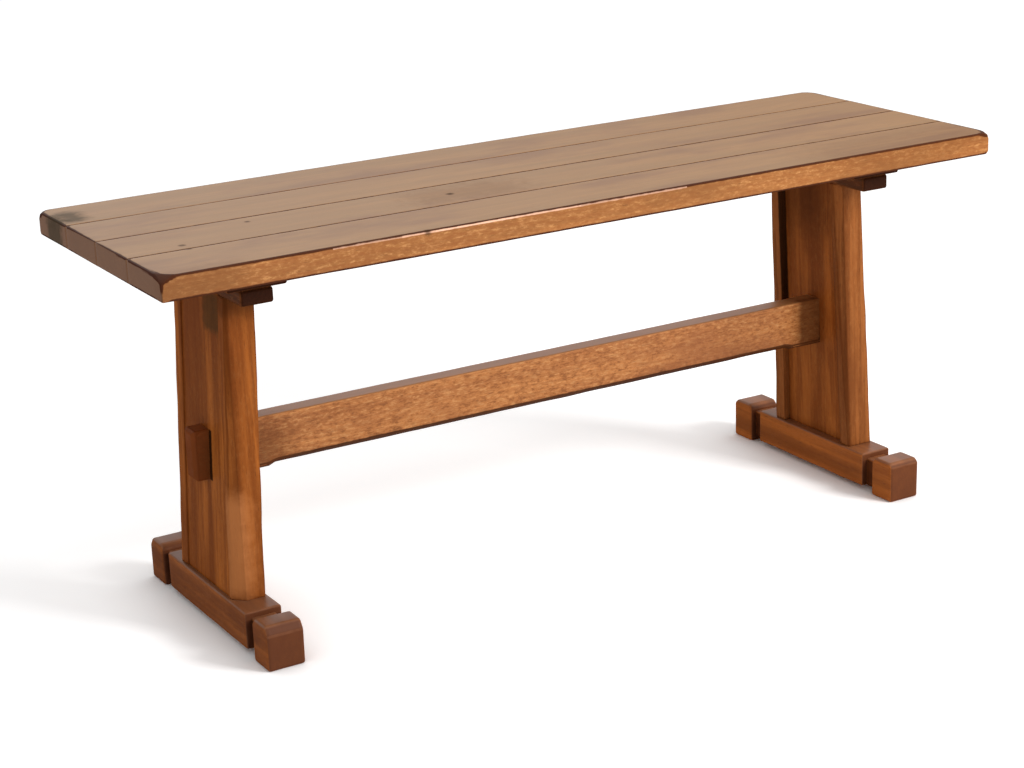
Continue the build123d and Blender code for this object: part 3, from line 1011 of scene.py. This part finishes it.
for end, side_name in ((-1, "left"), (1, "right")):
    tones = frame_tones if end < 0 else {**frame_tones, **browner_post}
    for side, post_name in ((-1, "front_post"), (1, "back_post")):
        name = f"{side_name}_{post_name}"
        seed = end * 2.3 + side
        slide = (seed, 0.06, 0.02 * seed)
        # A post's patches of grime, painted shade and painted light.
        stains = leg_grime_shade_and_light.get(name, ())
        finish = oak_material(f"waxed_{name}", tones, "Z", slide, stains, **post_numbers)
        sections = [post_section(level, end, side) for level in leg_levels]
        post = timber(f"worn_{name}", [timber_solid(sections, **post_cut)], finish)
        settle(post, [name], 0.0004, 0.0014, seed, dent_scale=16.0)
    name = f"{side_name}_leg_board"
    slide = (end * 0.8, 0.03, 0.05)
    finish = oak_material(
        f"waxed_{name}", frame_tones, "Z", slide, leg_grime_shade_and_light[name], **board_numbers
    )
    sections = [board_section(level, end) for level in leg_levels]
    board = timber(f"worn_{name}", [timber_solid(sections, **board_cut)], finish)
    settle(board, [name], face_depth=0.0004, arris_depth=0.0004, seed=end * 1.7)

# %% [markdown]
# One rail holds the two trestles apart. Next to each leg it keeps a deeper haunch, and a tenon
# passes through the leg and stands proud outside with a chamfered end. Its lower arrises are worn
# much rounder than the upper ones, and the dark band along them is partly dark wear and partly
# painted shade. The right front post's shadow across the rail's right end is painted too. Rail and
# tenons are three prisms that overlap out of sight inside the haunches.

# %% Stretcher
rail_thickness = 0.025
rail_arris = 0.0016
rail_step = 0.012
rail_under_wear = 0.004
dark_band_depth = 0.0025
upper_arris_share = 0.4
edge_gap = 0.0003
haunch_drop = 0.003
haunch_length = 0.038
haunch_slope = 0.008
hidden_overlap = 0.002
tenon_thickness = 0.024
tenon_top_shoulder = 0.0015
tenon_bottom_shoulder = 0.001
tenon_chamfer = 0.003
tenon_arris = 0.0008
tenon_step = 0.010
rail_low, rail_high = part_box("stretcher")
tenon_middle = (rail_low.z + rail_high.z) / 2
lean_here = leg_lean * (tenon_middle - leg_foot_height) / (leg_head_height - leg_foot_height)
post_face = head_place + leg_lean - lean_here - post_thickness / 2
rail_end = post_face + board_inner_recess + hidden_overlap
haunch_start = post_face - haunch_length
slope_start = haunch_start - haunch_slope


def rail_outline(raised):
    """The rail's outline from the front, with its lower side raised by an amount."""
    half_outline = [
        (slope_start, rail_low.z + haunch_drop + raised),
        (haunch_start, rail_low.z + raised),
        (rail_end, rail_low.z + raised),
        (rail_end, rail_high.z),
    ]
    return half_outline + [(-x, z) for x, z in reversed(half_outline)]


def stain_and_shade_rail(mesh):
    """Pales the arrises of the upper half, and darkens the worn edge underneath: wear and painted
    shade.
    """
    layer = mesh.verts.layers.float["arris"]
    for vertex in mesh.verts:
        drop = haunch_drop if abs(vertex.co.x) < slope_start else 0.0
        if vertex.co.z > tenon_middle:
            vertex[layer] *= upper_arris_share
        elif vertex.co.z < rail_low.z + rail_under_wear + drop + edge_gap:
            vertex[layer] = 1.0


half_thick = rail_thickness / 2
slices = (
    (-half_thick, rail_under_wear),
    (-half_thick + rail_under_wear, 0.0),
    (half_thick - rail_under_wear, 0.0),
    (half_thick, rail_under_wear),
)
rail_sides = [[Vector((x, y, z)) for x, z in rail_outline(raised)] for y, raised in slices]
under_rows = (0.0, dark_band_depth, haunch_drop, haunch_drop + dark_band_depth)
under_cuts = [rail_low.z + rail_under_wear + height for height in under_rows]
rail_solids = [timber_solid(rail_sides, rail_arris, rail_step, 0, cut_heights=under_cuts)]
stain_and_shade_rail(rail_solids[0])
for end in (-1, 1):
    low = Vector((0, -tenon_thickness / 2, rail_low.z + tenon_bottom_shoulder))
    high = Vector((0, tenon_thickness / 2, rail_high.z - tenon_top_shoulder))
    sections = [corners(low, high, end * x, 0) for x in (haunch_start, rail_high.x)]
    tenon = timber_solid(sections, tenon_arris, tenon_step, 0, end_chamfer=tenon_chamfer)
    rail_solids.append(tenon)
# The first two patches darken the proud tenons. The third paints the shadow that the right front
# post casts across the rail's end, and the last two darken the rail's front near its ends.
rail_stains_and_shadow = [
    ((-0.470, 0.0, 0.2), (0.035, 0.05, 0.08), 0.002, 0.0, 0.9, tenon_stain),
    ((0.470, 0.0, 0.2), (0.035, 0.05, 0.08), 0.002, 0.0, 0.9, tenon_stain),
    ((0.402, -0.0125, 0.2), (0.018, 0.004, 0.08), 0.010, 0.012, 0.60, dark_stain_and_shade),
    ((-0.400, -0.0125, 0.19), (0.035, 0.004, 0.01), 0.045, 0.040, 0.60, dark_stain_and_shade),
    ((0.330, -0.0125, 0.2), (0.050, 0.004, 0.03), 0.060, 0.040, 0.20, dark_stain_and_shade),
]
rail_tones = {**frame_tones, "Early Wood": srgb(180, 116, 62), "Deep Stain": srgb(144, 84, 42)}
rail_tones.update({"Arris Stain": srgb(50, 22, 10), "Late Wood": srgb(128, 74, 32)})
rail_numbers = dict(ring_strength=0.25, fleck_strength=0.1, figure_strength=0.85)
rail_numbers.update(arris_start=0.45, arris_strength=0.9, fade_strength=0.5)
rail_numbers.update(side_wax=0.5, top_wax=1.0)
slide = (0.21, 0.045, -0.13)
finish = oak_material("waxed_stretcher", rail_tones, "X", slide, rail_stains_and_shadow, **rail_numbers)
stretcher = timber("worn_stretcher", rail_solids, finish)
settle(stretcher, ["stretcher"], face_depth=0.0002, arris_depth=0.0008, seed=5.0)

# %% [markdown]
# Each foot is a beam that stands clear of the floor. A block at either end carries it, and a
# thinner neck joins the two, which makes the dark notch in the photograph. The blocks are the
# parts that get kicked: they have a wide bevel in front and the roundest arrises of the bench.

# %% Feet
foot_lift = 0.006
foot_step = 0.012
foot_block_length = 0.038
foot_block_arris = 0.0032
foot_block_step = 0.006
foot_bevel = {"left": (0.010, 0.007), "right": (0.005, 0.005)}
foot_inner_bevel = 0.006
foot_neck = {"length": 0.018, "half_width": 0.014, "height": 0.036, "arris": 0.0015}
foot_neck_overlap = 0.006
foot_beam_half_width = 0.022
foot_beam_arris = 0.0022
neck_shade_inset = 0.001
# Brighter, more golden tones for the right foot: a lit copy of the foot's tones, painted light.
lit_right_foot_tones = {"Early Wood": srgb(178, 100, 40), "Deep Stain": srgb(122, 66, 28)}
lit_right_foot_tones["Late Wood"] = srgb(128, 68, 28)
foot_numbers = dict(ring_strength=0.2, fleck_strength=0.1, figure_strength=0.2)
foot_numbers.update(streak_strength=0.5, fibre_strength=0.2, fade_strength=0.6)
foot_numbers.update(arris_start=0.62, arris_strength=0.35, side_wax=0.15, top_wax=0.8)


def foot_block(low, high, inner, side, bevel):
    """A foot's end block, a prism along X with a bevel on its upper outer and inner arrises."""
    drop, depth = bevel
    profile = (
        (inner, low.z),
        (high.y, low.z),
        (high.y, high.z - drop),
        (high.y - depth, high.z),
        (inner + foot_inner_bevel, high.z),
        (inner, high.z - foot_inner_bevel),
    )
    sections = [[Vector((x, side * y, z)) for y, z in profile] for x in (low.x, high.x)]
    return timber_solid(sections, foot_block_arris, foot_block_step, 0)


def foot_beam(middle, half_width, y_range, top, arris):
    """A beam or neck of a foot, clear of the floor."""
    low = Vector((middle - half_width, min(y_range), foot_lift))
    high = Vector((middle + half_width, max(y_range), top))
    return block_solid(low, high, arris, foot_step, 1)


for end, side_name in ((-1, "left"), (1, "right")):
    name = f"{side_name}_foot"
    low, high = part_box(name)
    middle = (low.x + high.x) / 2
    block_inner = high.y - foot_block_length
    beam_end = block_inner - foot_neck["length"]
    beam = (foot_beam_half_width, (-beam_end, beam_end), leg_foot_height, foot_beam_arris)
    foot_solids = [foot_beam(middle, *beam)]
    neck_middle = (beam_end + block_inner) / 2
    neck_size = (0.03, foot_neck["length"] / 2 - neck_shade_inset, 0.024)
    neck_top = foot_lift + foot_neck["height"]
    dark_necks = []
    for side in (-1, 1):
        ends = (beam_end - foot_neck_overlap, block_inner + foot_neck_overlap)
        neck = (foot_neck["half_width"], [side * y for y in ends], neck_top, foot_neck["arris"])
        foot_solids.append(foot_beam(middle, *neck))
        foot_solids.append(foot_block(low, high, block_inner, side, foot_bevel[side_name]))
        neck_place = (middle, side * neck_middle, 0.015)
        dark_necks.append((neck_place, neck_size, 0.002, 0.001, 0.8, neck_shade))
    tones = foot_tones if end < 0 else {**foot_tones, **lit_right_foot_tones}
    slide = (end * 1.3, 0.07, 0.03)
    finish = oak_material(f"waxed_{name}", tones, "Y", slide, dark_necks, **foot_numbers)
    foot = timber(f"worn_{name}", foot_solids, finish)
    settle(foot, [name], face_depth=0.0003, arris_depth=0.0010, seed=end * 4.1)

# %% [markdown]
# The seat is held from below: four countersunk screws in two rows go up through each batten. They
# repeat by a rule, so a Geometry Nodes tree sets one screw on every point of a grid. Its head has a
# cross-shaped recess, cut once before the screw is repeated.

# %% Screw tree
screw_head_radius = 0.004
screws_in_row = 4
recess_overrun = 1.3


def moved(tree, shape, **change):
    """The mesh of a shape, moved or turned into place."""
    inputs = {"Geometry": shape.outputs["Mesh"], **change}
    return add_node(tree, "GeometryNodeTransform", inputs).outputs[0]


def screw_tree():
    """Countersunk screws on a grid of points, their heads down."""
    inputs = {"Geometry": "Geometry", "Head Radius": screw_head_radius, "Shank Radius": 0.0021}
    inputs.update({"Head Height": 0.0034, "Length": 0.036, "Recess Width": 0.0011})
    inputs.update({"Recess Depth": 0.002, "Row Spacing": 0.052, "Screw Spacing": 0.0595})
    inputs.update({"Place": "Vector", "Finish": "Material"})
    tree, size, leave = new_tree("batten_screws", "Geometry", inputs, {"Geometry": "Geometry"})
    cone = {"Vertices": 32, "Depth": size["Head Height"]}
    cone.update({"Radius Bottom": size["Head Radius"], "Radius Top": size["Shank Radius"]})
    head = {"Mesh 1": add_node(tree, "GeometryNodeMeshCone", cone).outputs["Mesh"]}
    head = add_node(tree, "GeometryNodeMeshBoolean", head, operation="DIFFERENCE")
    extent = {
        "X": maths(tree, "MULTIPLY", size["Head Radius"], recess_overrun),
        "Y": size["Recess Width"],
        "Z": maths(tree, "MULTIPLY", size["Recess Depth"], 2.0),
    }
    extent = add_node(tree, "ShaderNodeCombineXYZ", extent).outputs[0]
    for turn in (0.0, quarter):
        bar = add_node(tree, "GeometryNodeMeshCube", {"Size": extent})
        feed(tree, head, {"Mesh 2": moved(tree, bar, Rotation=(0, 0, turn))})
    length = maths(tree, "SUBTRACT", size["Length"], size["Head Height"])
    middle = maths(tree, "ADD", maths(tree, "DIVIDE", length, 2.0), size["Head Height"])
    middle = add_node(tree, "ShaderNodeCombineXYZ", {"Z": middle}).outputs[0]
    shank = {"Vertices": 24, "Radius": size["Shank Radius"], "Depth": length}
    shank = add_node(tree, "GeometryNodeMeshCylinder", shank)
    screw = add_node(tree, "GeometryNodeJoinGeometry")
    for part in (head.outputs["Mesh"], moved(tree, shank, Translation=middle)):
        feed(tree, screw, {0: part})
    row_length = maths(tree, "MULTIPLY", size["Screw Spacing"], screws_in_row - 1.0)
    grid = {"Size X": size["Row Spacing"], "Size Y": row_length}
    grid.update({"Vertices X": 2, "Vertices Y": screws_in_row})
    grid = add_node(tree, "GeometryNodeMeshGrid", grid)
    spread = {"Points": moved(tree, grid, Translation=size["Place"]), "Instance": screw.outputs[0]}
    spread = add_node(tree, "GeometryNodeInstanceOnPoints", spread).outputs[0]
    dress(tree, spread, size["Finish"], leave)
    return tree


screw_rows = screw_tree()
print("screw tree nodes", len(screw_rows.nodes))

# %% Screws and their steel
screw_steel, steel_tree = new_material("dull_screw_steel")
steel_place = add_node(steel_tree, "ShaderNodeTexCoord").outputs["Object"]
steel_spots = noise(steel_tree, steel_place, 900.0, 3.0, 0.6)
steel_look = {
    "Metallic": 1.0,
    "Base Color": tinted(steel_tree, srgb(150, 140, 122), srgb(96, 84, 70), steel_spots),
    "Roughness": ramp(steel_tree, steel_spots, 0.3, 0.7, 0.35, 0.6),
}
feed(steel_tree, steel_tree.nodes["Principled BSDF"], steel_look)
screw_proud = 0.0003
for side_name in ("left", "right"):
    name = f"{side_name}_batten_screws"
    low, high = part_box(name)
    screws = bpy.data.objects.new(f"driven_{name}", bpy.data.meshes.new(f"driven_{name}"))
    bpy.context.scene.collection.objects.link(screws)
    values = {
        "Row Spacing": high.x - low.x - 2 * screw_head_radius,
        "Screw Spacing": (high.y - low.y - 2 * screw_head_radius) / (screws_in_row - 1),
        "Length": high.z - low.z,
        "Place": ((low.x + high.x) / 2, 0.0, low.z - screw_proud),
        "Finish": screw_steel,
    }
    apply_tree(screws, screw_rows, values)
    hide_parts(name)
    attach(screws, "root")
    print(screws.name, "points", len(screws.data.vertices))

# %% [markdown]
# The loose tongues that line up the planks stay as the frame has them, in bare unstained oak.

# %% Tongues
raw_tones = {**seat_tones, "Early Wood": srgb(196, 160, 112), "Late Wood": srgb(168, 128, 84)}
tongue_names = sorted(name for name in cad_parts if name.startswith("plank_tongue"))
for number, name in enumerate(tongue_names):
    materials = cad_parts[name].data.materials
    materials.clear()
    slide = (number, 0.02, 0.3)
    materials.append(oak_material(f"bare_{name}", raw_tones, "X", slide, top_wax=0.0))
print("bare tongues", len(tongue_names))
